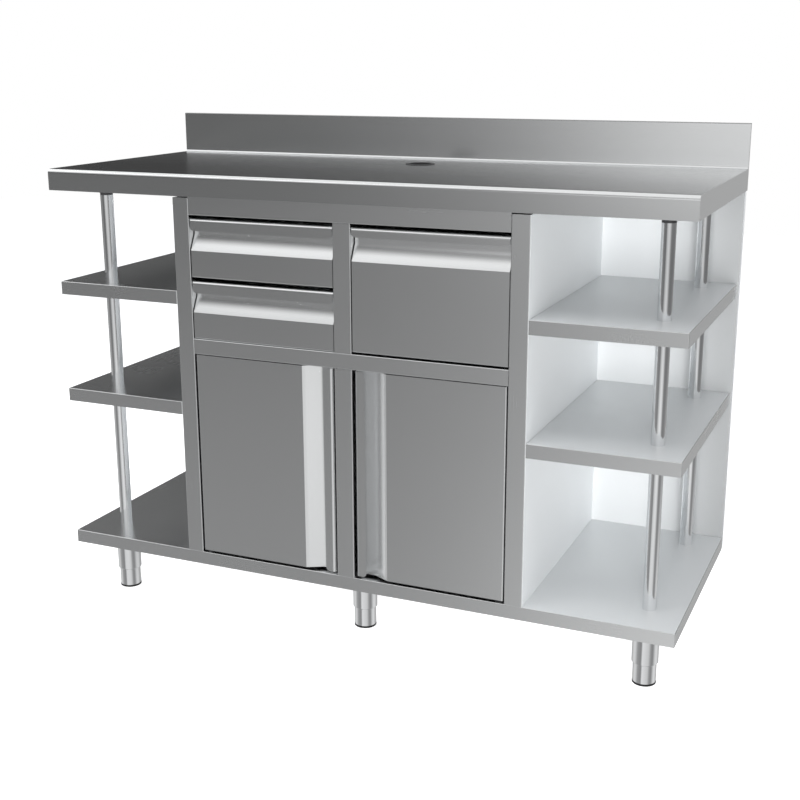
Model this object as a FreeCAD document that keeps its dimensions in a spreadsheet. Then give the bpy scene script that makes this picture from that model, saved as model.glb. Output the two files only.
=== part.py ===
import FreeCAD, Part
import math
import os
import re
import Sketcher

# Waiter service station: a folded stainless-steel counter with drawers, doors and open side bays.
# Millimetres. Origin on the floor under the middle of the counter, +Z up, the front faces -Y.

SIZES = {
    # worktop
    "length": 1500,
    "depth": 600,
    "worktop_height": 1068,
    "upstand_height": 102.5,
    "upstand_thickness": 10,
    "apron_height": 49,
    "return_lip": 15,
    "bullnose_radius": 9.5,
    "cove_radius": 6,
    "worktop_sheet": 1.2,
    # sheet metal in general
    "body_sheet": 1,
    "bend_radius": 0.8,
    "edge_round": 1.6,
    "front_setback": 10,
    "panel_setback": 2,
    # hose hole
    "hose_hole_diameter": 60,
    "hose_hole_setback": 437,
    "hose_hole_shift": 5,
    "grommet_flange": 5,
    "grommet_wall": 3,
    "grommet_drop": 7.2,
    "grommet_height": 1.8,
    "grommet_bevel": 1.2,
    # worktop stiffeners and base channels
    "stiffener_width": 50,
    "stiffener_depth": 28,
    "channel_flange": 14,
    "channel_end_gap": 20,
    "base_channel_width": 66,
    # base, side shelves and back panel
    "foot_height": 141.3,
    "base_fold": 31,
    "base_inset": 2,
    "shelf_fold": 31,
    "shelf_inset": 7.5,
    "lower_shelf_height": 540.5,
    "upper_shelf_height": 803,
    "back_panel_depth": 14,
    # posts
    "post_diameter": 30,
    "post_wall": 1.5,
    "post_end_inset": 78,
    "front_post_setback": 113,
    "rear_post_inset": 86,
    "post_bush_diameter": 35,
    "post_bush_drop": 13,
    "post_bush_spigot": 10,
    "rod_diameter": 8,
    "rod_hole_clearance": 0.5,
    "nut_across_flats": 13,
    "nut_height": 6.5,
    "rod_end_length": 3,
    # carcass
    "carcass_width": 838,
    "stile_width": 40.5,
    "stile_return": 20,
    "stile_top_gap": 4,
    "notch_clearance": 2,
    "side_rear_flange": 20,
    "mullion_width": 42,
    "top_rail_height": 41.5,
    "mid_rail_height": 35.4,
    "mid_rail_shelf": 45,
    # drawers
    "drawer_side_gap": 1.9,
    "drawer_top_gap": 8,
    "drawer_between_gap": 8.5,
    "drawer_sill_gap": 0.4,
    "deep_drawer_sill_gap": 4.1,
    "small_front_height": 133,
    "drawer_lip_height": 27.5,
    "deep_drawer_lip_height": 20.5,
    "drawer_recess_width": 72.3,
    "small_box_height": 105,
    "deep_box_height": 238,
    "box_depth": 480,
    "box_rise": 12,
    "box_corner_radius": 8,
    # folded pull shared by drawers and doors
    "recess_slope": 36,
    "recess_depth": 18.5,
    "pull_edge_radius": 6.5,
    "pull_lip_corner": 9,
    "panel_edge_radius": 2,
    # telescopic runners
    "runner_height": 36,
    "runner_thickness": 12.7,
    "runner_sheet": 1.2,
    "runner_length": 450,
    "runner_rise": 36,
    "runner_front_gap": 5,
    "runner_play": 0.3,
    "runner_bend": 0.4,
    # doors
    "door_hinge_gap": 3,
    "door_handle_gap": 4.9,
    "door_top_gap": 2,
    "door_bottom_gap": 5.7,
    "door_lip_width": 24.5,
    "door_recess_width": 76,
    "liner_edge": 12,
    "liner_inset": 2.5,
    "pivot_inset": 11,
    "pivot_diameter": 8,
    "pivot_play": 0.08,
    "pivot_engagement": 10,
    "pivot_in_door": 14,
    "bush_wall": 2,
    "bush_rim": 3,
    "bush_rim_height": 1.5,
    "door_rest_gap": 0.3,
    "catch_length": 45,
    "catch_height": 14,
    "catch_inset": 60,
    # feet
    "foot_end_inset": 81.5,
    "front_foot_setback": 112,
    "middle_foot_setback": 133,
    "middle_foot_shift": 9.5,
    "sleeve_diameter": 57.5,
    "sleeve_wall": 1.5,
    "sleeve_height": 92.8,
    "sleeve_collar": 12,
    "sleeve_bevel": 1.5,
    "cup_diameter": 51,
    "cup_wall": 2,
    "cup_height": 110,
    "cup_play": 0.3,
    "screw_diameter": 16,
    "screw_play": 0.08,
    "screw_height": 135,
    "screw_bush_wall": 5,
    "screw_bush_length": 58,
    "foot_plate": 3,
    "pad_height": 3,
    "pad_rim": 0.6,
}

# Places and sizes that follow from the driving sizes, each written once.
DERIVED = {
    "front": "-depth / 2",
    "rear": "depth / 2",
    "face": "-depth / 2 + front_setback",
    "panel_face": "-depth / 2 + front_setback + panel_setback",
    "panel_front": "depth / 2 - back_panel_depth",
    "run_depth": "depth - front_setback - back_panel_depth",
    "apron_bottom": "worktop_height - apron_height",
    "upstand_top": "worktop_height + upstand_height",
    "stiffener_bottom": "worktop_height - worktop_sheet - stiffener_depth",
    "base_top": "foot_height + base_fold",
    "opening_width": "(carcass_width - 2 * stile_width - mullion_width) / 2",
    "opening_inner": "mullion_width / 2",
    "opening_outer": "carcass_width / 2 - stile_width",
    "top_rail_bottom": "apron_bottom - top_rail_height",
    "upper_front_top": "top_rail_bottom - drawer_top_gap",
    "lower_front_top": "upper_front_top - small_front_height - drawer_between_gap",
    "mid_rail_top": "lower_front_top - small_front_height - drawer_sill_gap",
    "mid_rail_bottom": "mid_rail_top - mid_rail_height",
    "deep_front_height": "upper_front_top - mid_rail_top - deep_drawer_sill_gap",
    "door_top": "mid_rail_bottom - door_top_gap",
    "door_bottom": "base_top + door_bottom_gap",
    "door_height": "door_top - door_bottom",
    "door_width": "opening_width - door_hinge_gap - door_handle_gap",
    "skin_depth": "recess_depth + body_sheet",
    "door_thickness": "recess_depth + 2 * body_sheet",
    "front_width": "opening_width - 2 * drawer_side_gap",
    "pivot_back": "panel_setback + door_thickness / 2",
    "box_width": "opening_width - 2 * runner_thickness",
    "middle_runner_height": "runner_height - 2 * (runner_sheet + runner_play)",
    "inner_runner_height": "middle_runner_height - 2 * (runner_sheet + runner_play)",
    "post_bush_bottom": "apron_bottom - post_bush_drop",
    "bush_bore": "pivot_diameter + 2 * pivot_play",
    "bush_outer": "bush_bore + 2 * bush_wall",
    "rod_hole": "rod_diameter + 2 * rod_hole_clearance",
}

doc = FreeCAD.newDocument("WaiterServiceStation")
sheet = doc.addObject("Spreadsheet::Sheet", "Sizes")
for row, (alias, number) in enumerate(SIZES.items(), start=1):
    sheet.set(f"A{row}", alias)
    sheet.set(f"B{row}", str(number))
    sheet.setAlias(f"B{row}", alias)
doc.recompute()

WORD = re.compile(r"[a-z_]+")
FUNCTIONS = {"sqrt", "sin", "cos", "deg"}


def formula(text):
    """The expression in terms of the sheet's cells, with the derived names written out."""
    def swap(match):
        word = match.group(0)
        if word in DERIVED:
            return f"({formula(DERIVED[word])})"
        return word if word in FUNCTIONS else f"Sizes.{word}"
    return WORD.sub(swap, str(text))


def value(text):
    """The number that an expression gives now."""
    return float(sheet.evalExpression(formula(text)))


def bind(item, prop, text):
    item.setExpression(prop, formula(text))


# ---------------------------------------------------------------- sketches

def plane_of(body, role):
    return next(feature for feature in body.Origin.OriginFeatures if feature.Role == role)


def new_body(label, x="0", y="0", z="0"):
    body = doc.addObject("PartDesign::Body", label)
    body.Label = label
    for axis, text in zip("xyz", (x, y, z)):
        if text != "0":
            bind(body, f"Placement.Base.{axis}", text)
    return body


def new_sketch(body, role, name, offset="0"):
    sketch = body.newObject("Sketcher::SketchObject", name)
    sketch.AttachmentSupport = [(plane_of(body, role), "")]
    sketch.MapMode = "FlatFace"
    if offset != "0":
        bind(sketch, "AttachmentOffset.Base.z", offset)
    return sketch


def vector(x, y):
    return FreeCAD.Vector(x, y, 0)


def pin_point(sketch, geometry, end, x, y):
    """Ties a point to the sketch's origin by two bound distances."""
    for kind, text in (("DistanceX", x), ("DistanceY", y)):
        index = sketch.addConstraint(Sketcher.Constraint(kind, -1, 1, geometry, end, value(text)))
        bind(sketch, f"Constraints[{index}]", text)


def bound_constraint(sketch, text, *parts):
    index = sketch.addConstraint(Sketcher.Constraint(*parts, value(text)))
    bind(sketch, f"Constraints[{index}]", text)


def polygon(sketch, corners):
    """Closed polygon, each corner an (x, y) pair of expressions."""
    spots = [vector(value(x), value(y)) for x, y in corners]
    count = len(spots)
    lines = [sketch.addGeometry(Part.LineSegment(spots[i], spots[(i + 1) % count]), False)
             for i in range(count)]
    for i, line in enumerate(lines):
        sketch.addConstraint(Sketcher.Constraint("Coincident", line, 2, lines[(i + 1) % count], 1))
        pin_point(sketch, line, 1, *corners[i])
    return sketch


def rectangle(sketch, left, bottom, right, top):
    return polygon(sketch, [(left, bottom), (right, bottom), (right, top), (left, top)])


def circle(sketch, x, y, diameter):
    centre = vector(value(x), value(y))
    ring = sketch.addGeometry(Part.Circle(centre, FreeCAD.Vector(0, 0, 1), value(diameter) / 2), False)
    pin_point(sketch, ring, 3, x, y)
    bound_constraint(sketch, diameter, "Diameter", ring)
    return sketch


def folded_strip(sketch, corners, radii, thickness, side):
    """Section of a folded sheet.

    corners run along one surface of the sheet, as if its bends were sharp. The sheet lies on the
    left of that walk for side 1 and on its right for side -1. radii are the inside bend radii.
    """
    spots = [vector(value(x), value(y)) for x, y in corners]
    sheet_thickness = value(thickness)
    runs = [(b - a).normalize() for a, b in zip(spots, spots[1:])]
    normals = [vector(-run.y, run.x) * side for run in runs]
    guides = []
    for i, (a, b) in enumerate(zip(spots, spots[1:])):
        guides.append(sketch.addGeometry(Part.LineSegment(a, b), True))
        pin_point(sketch, guides[i], 1, *corners[i])
        if i:
            sketch.addConstraint(Sketcher.Constraint("Coincident", guides[i - 1], 2, guides[i], 1))
    pin_point(sketch, guides[-1], 2, *corners[-1])

    # near (guide) side and far side: where each straight run starts and ends between its bends
    near_ends = [[spots[i], spots[i + 1]] for i in range(len(runs))]
    far_ends = [[a + normals[i] * sheet_thickness, b + normals[i] * sheet_thickness]
                for i, (a, b) in enumerate(near_ends)]
    bends = []
    for i, radius in enumerate(radii):
        before, after = runs[i], runs[i + 1]
        cross = before.x * after.y - before.y * after.x
        turn = math.copysign(1, cross)
        half_angle = math.atan2(abs(cross), before.dot(after)) / 2
        inside = value(radius)
        near_radius = inside + sheet_thickness if turn == side else inside
        far_radius = inside if turn == side else inside + sheet_thickness
        reach = near_radius * math.tan(half_angle)
        corner = spots[i + 1]
        start, end = corner - before * reach, corner + after * reach
        centre = start + vector(-before.y, before.x) * turn * near_radius
        near_ends[i][1], near_ends[i + 1][0] = start, end
        far_ends[i][1] = start + normals[i] * sheet_thickness
        far_ends[i + 1][0] = end + normals[i + 1] * sheet_thickness
        bends.append((centre, turn, near_radius, far_radius, radius))

    def chain(ends, radius_index):
        lines = [sketch.addGeometry(Part.LineSegment(a, b), False) for a, b in ends]
        for i, bend in enumerate(bends):
            centre, turn, radius = bend[0], bend[1], bend[radius_index]
            first, last = ends[i][1], ends[i + 1][0]
            if turn < 0:
                first, last = last, first
            ring = Part.Circle(centre, FreeCAD.Vector(0, 0, 1), radius)
            begin = math.atan2(first.y - centre.y, first.x - centre.x)
            finish = math.atan2(last.y - centre.y, last.x - centre.x)
            if finish < begin:
                finish += 2 * math.pi
            arc = sketch.addGeometry(Part.ArcOfCircle(ring, begin, finish), False)
            entry, leave = (1, 2) if turn > 0 else (2, 1)
            sketch.addConstraint(Sketcher.Constraint("Tangent", lines[i], 2, arc, entry))
            sketch.addConstraint(Sketcher.Constraint("Tangent", arc, leave, lines[i + 1], 1))
            outside = radius > value(bend[4]) + sheet_thickness / 2
            text = f"({bend[4]}) + {thickness}" if outside else bend[4]
            bound_constraint(sketch, text, "Radius", arc)
        return lines

    near = chain(near_ends, 2)
    far = chain(far_ends, 3)
    last = len(guides) - 1
    for i, guide in enumerate(guides):
        if i == 0:
            sketch.addConstraint(Sketcher.Constraint("Coincident", near[i], 1, guide, 1))
        else:
            sketch.addConstraint(Sketcher.Constraint("PointOnObject", guide, 1, near[i]))
        if i == last:
            sketch.addConstraint(Sketcher.Constraint("Coincident", near[i], 2, guide, 2))
        else:
            sketch.addConstraint(Sketcher.Constraint("PointOnObject", guide, 2, near[i]))
        sketch.addConstraint(Sketcher.Constraint("Parallel", guide, far[i]))
        bound_constraint(sketch, thickness, "Distance", guide, 1, far[i])
    for point, line in ((1, 0), (2, last)):
        ends = (near_ends[line][point - 1], far_ends[line][point - 1])
        cap = sketch.addGeometry(Part.LineSegment(*ends), False)
        sketch.addConstraint(Sketcher.Constraint("Coincident", cap, 1, near[line], point))
        sketch.addConstraint(Sketcher.Constraint("Coincident", cap, 2, far[line], point))
        sketch.addConstraint(Sketcher.Constraint("Perpendicular", cap, guides[line]))
    return sketch


# ---------------------------------------------------------------- features

def pad(body, sketch, length, reverse=False, symmetric=False):
    feature = body.newObject("PartDesign::Pad", "Pad")
    feature.Profile = sketch
    bind(feature, "Length", length)
    feature.Reversed = reverse
    if symmetric:
        feature.SideType = "Symmetric"
    doc.recompute()
    return feature


def cut(body, sketch, length, reverse=False, symmetric=False):
    """Pocket that has to take material away."""
    before = body.Shape.Volume
    feature = body.newObject("PartDesign::Pocket", "Pocket")
    feature.Profile = sketch
    feature.Type = "Length"
    bind(feature, "Length", length)
    feature.Reversed = reverse
    if symmetric:
        feature.SideType = "Symmetric"
    doc.recompute()
    if body.Shape.Volume > before - 1e-6:
        raise RuntimeError(f"{body.Label}: a pocket cut nothing")
    return feature


def revolve(body, corners):
    """Turned piece: the closed half section in X and Z, turned about Z."""
    sketch = polygon(new_sketch(body, "XZ_Plane", "HalfSection"), corners)
    feature = body.newObject("PartDesign::Revolution", "Revolution")
    feature.Profile = sketch
    feature.ReferenceAxis = (sketch, ["V_Axis"])
    feature.Angle = 360
    doc.recompute()
    return feature


ALONG_X = FreeCAD.Vector(1, 0, 0)
ALONG_Y = FreeCAD.Vector(0, 1, 0)
ALONG_Z = FreeCAD.Vector(0, 0, 1)


def edges_where(feature, test, along=None):
    """Names of the edges whose ends pass the test, and that run along the axis if one is given."""
    names = []
    for number, edge in enumerate(feature.Shape.Edges, start=1):
        ends = [vertex.Point for vertex in edge.Vertexes]
        if len(ends) != 2 or not all(test(end) for end in ends):
            continue
        run = ends[1] - ends[0]
        if along is None or abs(run.dot(along)) > 0.999 * run.Length:
            names.append(f"Edge{number}")
    return names


def edges_except(feature, test):
    """Names of all edges but those that lie with both ends on the open face."""
    left_out = set(edges_where(feature, test))
    names = [f"Edge{number}" for number in range(1, len(feature.Shape.Edges) + 1)]
    return [name for name in names if name not in left_out]


def faces_where(feature, test):
    return [f"Face{number}" for number, face in enumerate(feature.Shape.Faces, start=1)
            if all(test(vertex.Point) for vertex in face.Vertexes)]


def near(number, text):
    return abs(number - value(text)) < 1e-4


def fillet(body, feature, names, radius):
    rounding = body.newObject("PartDesign::Fillet", "Fillet")
    rounding.Base = (feature, names)
    bind(rounding, "Radius", radius)
    doc.recompute()
    return rounding


def shell(body, feature, names, thickness):
    """Hollows the body to a sheet's thickness and opens the named faces."""
    hollow = body.newObject("PartDesign::Thickness", "Shell")
    hollow.Base = (feature, names)
    bind(hollow, "Value", thickness)
    hollow.Reversed = True
    hollow.Join = "Intersection"
    doc.recompute()
    return hollow


def group(label, members):
    """One node of several equal, separate solids."""
    node = doc.addObject("Part::Compound", label)
    node.Label = label
    node.Links = members
    return node


NODES = []


def keep(node):
    NODES.append(node)
    return node


# ---------------------------------------------------------------- shared forms

def tray(label, left, front, top, width, run, fold, sheet_size, round_size):
    """Folded shelf: a top sheet with four flanges turned down, bends rounded."""
    body = new_body(label, left, front, top)
    outline = rectangle(new_sketch(body, "XY_Plane", "Outline"), "0", "0", width, run)
    block = pad(body, outline, fold, reverse=True)
    bends = edges_except(block, lambda p: near(p.z, f"-({fold})"))
    rounded = fillet(body, block, bends, round_size)
    underside = faces_where(rounded, lambda p: near(p.z, f"-({fold})"))
    shell(body, rounded, underside, sheet_size)
    return body


def hole_through(body, spots, diameter, reach):
    """Round holes through the sheet that lies on the body's own XY plane."""
    sketch = new_sketch(body, "XY_Plane", "Holes")
    for x, y in spots:
        circle(sketch, x, y, diameter)
    cut(body, sketch, reach, symmetric=True)


def hat_channel(label, x, y, top, width, height, run, sheet_size):
    """Hat section that runs from front to back: flanges on top, the web below."""
    body = new_body(label, x, y, top)
    sketch = new_sketch(body, "XZ_Plane", "Section")
    low = f"-({height}) + {sheet_size}"
    corners = [
        (f"-({width}) / 2 - channel_flange", "0"),
        (f"-({width}) / 2", "0"),
        (f"-({width}) / 2", low),
        (f"({width}) / 2", low),
        (f"({width}) / 2", "0"),
        (f"({width}) / 2 + channel_flange", "0"),
    ]
    folded_strip(sketch, corners, ["bend_radius"] * 4, sheet_size, -1)
    pad(body, sketch, run, reverse=True)
    return body


def pull_path(width, lip, recess):
    """The folded pull: (along, back) corners from the plain edge to the free edge of the lip."""
    slope_start = f"{width} - {recess}"
    slope_end = f"{width} - {recess} + recess_slope"
    rim = f"{width} - body_sheet"
    return [
        ("0", "skin_depth"),
        ("0", "0"),
        (slope_start, "0"),
        (slope_end, "recess_depth"),
        (rim, "recess_depth"),
        (rim, "body_sheet"),
        (f"{width} - {lip}", "body_sheet"),
    ]


PULL_RADII = ["panel_edge_radius", "bend_radius", "bend_radius", "bend_radius", "pull_edge_radius"]


def pull_end(width, recess):
    """Outline of the plate that closes a hollow front behind the pull."""
    middle = "body_sheet / 2"
    deep = f"recess_depth + {middle}"
    return [
        (middle, "panel_edge_radius + body_sheet"),
        ("panel_edge_radius + body_sheet", middle),
        (f"{width} - {recess}", middle),
        (f"{width} - {recess} + recess_slope", deep),
        (f"{width} - {middle}", deep),
        (f"{width} - {middle}", "skin_depth"),
        (middle, "skin_depth"),
    ]


# ---------------------------------------------------------------- worktop

def make_worktop():
    body = new_body("worktop")
    sketch = new_sketch(body, "YZ_Plane", "Profile", "-length / 2")
    polygon(sketch, [
        ("front", "apron_bottom"),
        ("front", "worktop_height"),
        ("rear - upstand_thickness", "worktop_height"),
        ("rear - upstand_thickness", "upstand_top"),
        ("rear", "upstand_top"),
        ("rear", "apron_bottom"),
    ])
    block = pad(body, sketch, "length")
    nose = edges_where(block, lambda p: near(p.y, "front") and near(p.z, "worktop_height"))
    block = fillet(body, block, nose, "bullnose_radius")
    cove = edges_where(block, lambda p: near(p.y, "rear - upstand_thickness")
                       and near(p.z, "worktop_height"))
    block = fillet(body, block, cove, "cove_radius")
    crest = edges_where(block, lambda p: near(p.z, "upstand_top"), ALONG_X)
    block = fillet(body, block, crest, "edge_round")
    open_face = faces_where(block, lambda p: near(p.z, "apron_bottom"))
    shell(body, block, open_face, "worktop_sheet")

    lip = new_sketch(body, "XY_Plane", "ReturnLip", "apron_bottom")
    rectangle(lip, "-length / 2", "front", "length / 2", "rear")
    rectangle(lip, "-length / 2 + return_lip", "front + return_lip",
              "length / 2 - return_lip", "panel_front")
    pad(body, lip, "worktop_sheet")

    hole = new_sketch(body, "XY_Plane", "HoseHole", "worktop_height")
    circle(hole, "hose_hole_shift", "front + hose_hole_setback", "hose_hole_diameter")
    cut(body, hole, "4 * worktop_sheet", symmetric=True)
    return body


def make_hose_grommet():
    body = new_body("hose_grommet", "hose_hole_shift", "front + hose_hole_setback", "worktop_height")
    inner = "hose_hole_diameter / 2 - grommet_wall"
    rim = "hose_hole_diameter / 2 + grommet_flange"
    bevel_foot = "grommet_height - grommet_bevel"
    revolve(body, [
        (inner, "-grommet_drop"),
        ("hose_hole_diameter / 2", "-grommet_drop"),
        ("hose_hole_diameter / 2", "0"),
        (rim, "0"),
        (rim, bevel_foot),
        (f"{rim} - grommet_bevel", "grommet_height"),
        (f"{inner} + grommet_bevel", "grommet_height"),
        (inner, bevel_foot),
    ])
    return body


POST_SPOTS = {
    "front_left": ("-length / 2 + post_end_inset", "front + front_post_setback"),
    "rear_left": ("-length / 2 + post_end_inset", "rear - rear_post_inset"),
    "front_right": ("length / 2 - post_end_inset", "front + front_post_setback"),
    "rear_right": ("length / 2 - post_end_inset", "rear - rear_post_inset"),
}


def make_worktop_stiffeners():
    run = "depth - upstand_thickness - 2 * channel_end_gap"
    start = "front + channel_end_gap"
    over_side = "carcass_width / 2 - side_rear_flange / 2"
    members = []
    places = ["-length / 2 + post_end_inset", f"-({over_side})", over_side,
              "length / 2 - post_end_inset"]
    for number, x in enumerate(places):
        channel = hat_channel(f"worktop_stiffener_{number + 1}", x, start,
                              "worktop_height - worktop_sheet", "stiffener_width",
                              "stiffener_depth", run, "body_sheet")
        if number in (0, 3):
            spots = [("0", "front_post_setback - channel_end_gap"),
                     ("0", "depth - rear_post_inset - channel_end_gap")]
            hole_through_channel(channel, spots, "stiffener_depth")
        members.append(channel)
    return group("worktop_stiffeners", members)


def hole_through_channel(channel, spots, height):
    sketch = new_sketch(channel, "XY_Plane", "RodHoles", f"-({height})")
    for x, y in spots:
        circle(sketch, x, y, "rod_hole")
    cut(channel, sketch, "4 * body_sheet", symmetric=True)


# ---------------------------------------------------------------- base, shelves, back panel

def make_base_shelf():
    half = "(length / 2 - base_inset)"
    body = tray("base_shelf", f"-{half}", "face", "base_top", f"2 * {half}", "run_depth",
                "base_fold", "body_sheet", "edge_round")
    spots = [(f"{x} + {half}", f"{y} - face") for x, y in POST_SPOTS.values()]
    hole_through(body, spots, "rod_hole", "4 * body_sheet")
    pivots = [(f"{x} + {half}", "pivot_back") for x in PIVOT_X.values()]
    hole_through(body, pivots, "bush_outer", "4 * body_sheet")
    return body


def make_base_channels():
    members = []
    places = ["-length / 2 + foot_end_inset", "-middle_foot_shift", "length / 2 - foot_end_inset"]
    for number, x in enumerate(places):
        members.append(hat_channel(
            f"base_channel_{number + 1}", x, "face + channel_end_gap", "base_top - body_sheet",
            "base_channel_width", "base_fold - body_sheet", "run_depth - 2 * channel_end_gap",
            "body_sheet"))
    return group("base_channels", members)


def make_side_shelf(side, level):
    width = "(length - carcass_width) / 2 - shelf_inset"
    left = "-length / 2 + shelf_inset" if side == "left" else "carcass_width / 2"
    top = f"{level}_shelf_height"
    body = tray(f"{side}_{level}_shelf", left, "face", top, width, "run_depth",
                "shelf_fold", "body_sheet", "edge_round")
    spots = [(f"{x} - ({left})", f"{y} - face")
             for name, (x, y) in POST_SPOTS.items() if name.endswith(side)]
    hole_through(body, spots, "rod_hole", "4 * body_sheet")
    return body


def make_back_panel():
    """The same tray stood on its edge: its flanges turn to the rear."""
    half = "(length / 2 - base_inset)"
    body = tray("back_panel", f"-{half}", "panel_front", "foot_height", f"2 * {half}",
                "apron_bottom - foot_height", "back_panel_depth", "body_sheet", "edge_round")
    body.Placement.Rotation = FreeCAD.Rotation(FreeCAD.Vector(1, 0, 0), 90)
    return body


# ---------------------------------------------------------------- posts

def make_post(name, x, y):
    """Three lengths of tube between base, shelves and worktop."""
    levels = [
        ("base_top", "lower_shelf_height - body_sheet"),
        ("lower_shelf_height", "upper_shelf_height - body_sheet"),
        ("upper_shelf_height", "post_bush_bottom"),
    ]
    members = []
    for number, (low, high) in enumerate(levels, start=1):
        body = new_body(f"{name}_post_tube_{number}", x, y, low)
        sketch = circle(new_sketch(body, "XY_Plane", "Section"), "0", "0", "post_diameter")
        circle(sketch, "0", "0", "post_diameter - 2 * post_wall")
        pad(body, sketch, f"{high} - ({low})")
        members.append(body)
    return group(f"{name}_post", members)


def make_post_bushes():
    members = []
    bore = "rod_hole / 2"
    spigot = "post_diameter / 2 - post_wall"
    for name, (x, y) in POST_SPOTS.items():
        body = new_body(f"{name}_post_bush", x, y, "post_bush_bottom")
        revolve(body, [
            (bore, "-post_bush_spigot"),
            (spigot, "-post_bush_spigot"),
            (spigot, "0"),
            ("post_bush_diameter / 2", "0"),
            ("post_bush_diameter / 2", "stiffener_bottom - post_bush_bottom"),
            (bore, "stiffener_bottom - post_bush_bottom"),
        ])
        members.append(body)
    return group("post_top_bushes", members)


ROD_LOW = "base_top - body_sheet - nut_height - rod_end_length"
ROD_HIGH = "stiffener_bottom + body_sheet + nut_height + rod_end_length"


def make_tie_rods():
    members = []
    for name, (x, y) in POST_SPOTS.items():
        body = new_body(f"{name}_tie_rod", x, y, ROD_LOW)
        sketch = circle(new_sketch(body, "XY_Plane", "Section"), "0", "0", "rod_diameter")
        pad(body, sketch, f"{ROD_HIGH} - ({ROD_LOW})")
        members.append(body)
    return group("post_tie_rods", members)


def make_nuts():
    members = []
    across = "nut_across_flats / sqrt(3)"
    hexagon = [(f"{across} * cos({60 * i} deg)", f"{across} * sin({60 * i} deg)") for i in range(6)]
    levels = [("low", "base_top - body_sheet - nut_height"), ("high", "stiffener_bottom + body_sheet")]
    for name, (x, y) in POST_SPOTS.items():
        for level, z in levels:
            body = new_body(f"{name}_{level}_nut", x, y, z)
            sketch = polygon(new_sketch(body, "XY_Plane", "Hexagon"), hexagon)
            circle(sketch, "0", "0", "rod_diameter")
            pad(body, sketch, "nut_height")
            members.append(body)
    return group("tie_rod_nuts", members)


# ---------------------------------------------------------------- carcass

HANDS = {"left": -1, "right": 1}


def make_carcass_side(side):
    """Side sheet with the front stile, its return and a rear flange, folded from one blank."""
    hand = HANDS[side]
    body = new_body(f"{side}_carcass_side", "0", "0", "base_top")
    sketch = new_sketch(body, "XY_Plane", "Section")
    corners = [
        (f"{hand} * (opening_outer)", "face + stile_return"),
        (f"{hand} * (opening_outer)", "face"),
        (f"{hand} * carcass_width / 2", "face"),
        (f"{hand} * carcass_width / 2", "panel_front"),
        (f"{hand} * (carcass_width / 2 - side_rear_flange)", "panel_front"),
    ]
    folded_strip(sketch, corners, ["bend_radius"] * 3, "body_sheet", hand)
    pad(body, sketch, "stiffener_bottom - base_top")
    notch = new_sketch(body, "YZ_Plane", "StileTop", f"{hand} * (carcass_width / 2 - stile_width / 2)")
    rectangle(notch, "front", "apron_bottom - stile_top_gap - base_top",
              "face + stile_return + notch_clearance", "worktop_height - base_top")
    cut(body, notch, "2 * stile_width", symmetric=True)
    return body


def channel_rail(label, left, width, bottom, height, lower_shelf):
    """Rail of C section: face, short top return and a return of the given depth below."""
    body = new_body(label, left, "face", bottom)
    sketch = new_sketch(body, "YZ_Plane", "Section")
    corners = [
        ("stile_return", height),
        ("0", height),
        ("0", "0"),
        (lower_shelf, "0"),
    ]
    folded_strip(sketch, corners, ["bend_radius"] * 2, "body_sheet", 1)
    pad(body, sketch, width)
    return body


PIVOT_X = {
    "left": "-(opening_outer) + door_hinge_gap + pivot_inset",
    "right": "opening_outer - door_hinge_gap - pivot_inset",
}


def make_mid_rail():
    """One rail across both openings; its shelf carries the upper door pivots."""
    left = "-(opening_outer)"
    rail = channel_rail("mid_rail", left, "2 * (opening_outer)", "mid_rail_bottom",
                        "mid_rail_height", "mid_rail_shelf")
    spots = [(f"{x} - ({left})", "pivot_back") for x in PIVOT_X.values()]
    hole_through(rail, spots, "bush_outer", "4 * body_sheet")
    return rail


def make_mullion():
    """Two lengths of one channel: between the drawers, and between the doors."""
    members = []
    levels = [
        ("lower", "base_top", "mid_rail_bottom - base_top"),
        ("upper", "mid_rail_top", "top_rail_bottom - mid_rail_top"),
    ]
    corners = [
        ("-mullion_width / 2", "stile_return"),
        ("-mullion_width / 2", "0"),
        ("mullion_width / 2", "0"),
        ("mullion_width / 2", "stile_return"),
    ]
    for level, bottom, run in levels:
        body = new_body(f"{level}_mullion", "0", "face", bottom)
        sketch = new_sketch(body, "XY_Plane", "Section")
        folded_strip(sketch, corners, ["bend_radius"] * 2, "body_sheet", 1)
        pad(body, sketch, run)
        members.append(body)
    return group("centre_mullion", members)


def make_drawer_housing(side):
    """U-shaped sheet behind the frame: its walls carry the runners, its floor roofs the cupboard."""
    left = "-(opening_outer)" if side == "left" else "opening_inner"
    body = new_body(f"{side}_drawer_housing", left, "face + stile_return", "mid_rail_top - body_sheet")
    sketch = new_sketch(body, "XZ_Plane", "Section")
    wall_top = "top_rail_bottom - mid_rail_top + body_sheet"
    corners = [
        ("0", wall_top),
        ("0", "body_sheet"),
        ("opening_width", "body_sheet"),
        ("opening_width", wall_top),
    ]
    folded_strip(sketch, corners, ["bend_radius"] * 2, "body_sheet", -1)
    pad(body, sketch, "run_depth - stile_return", reverse=True)
    return body


# ---------------------------------------------------------------- drawers

DRAWERS = {
    # name: (left edge of its opening, top of its front, height of its front)
    "upper": ("-(opening_outer)", "upper_front_top", "small_front_height"),
    "lower": ("-(opening_outer)", "lower_front_top", "small_front_height"),
    "deep": ("opening_inner", "upper_front_top", "deep_front_height"),
}
BOX_HEIGHTS = {"upper": "small_box_height", "lower": "small_box_height", "deep": "deep_box_height"}
LIP_HEIGHTS = {"upper": "drawer_lip_height", "lower": "drawer_lip_height",
               "deep": "deep_drawer_lip_height"}


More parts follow.
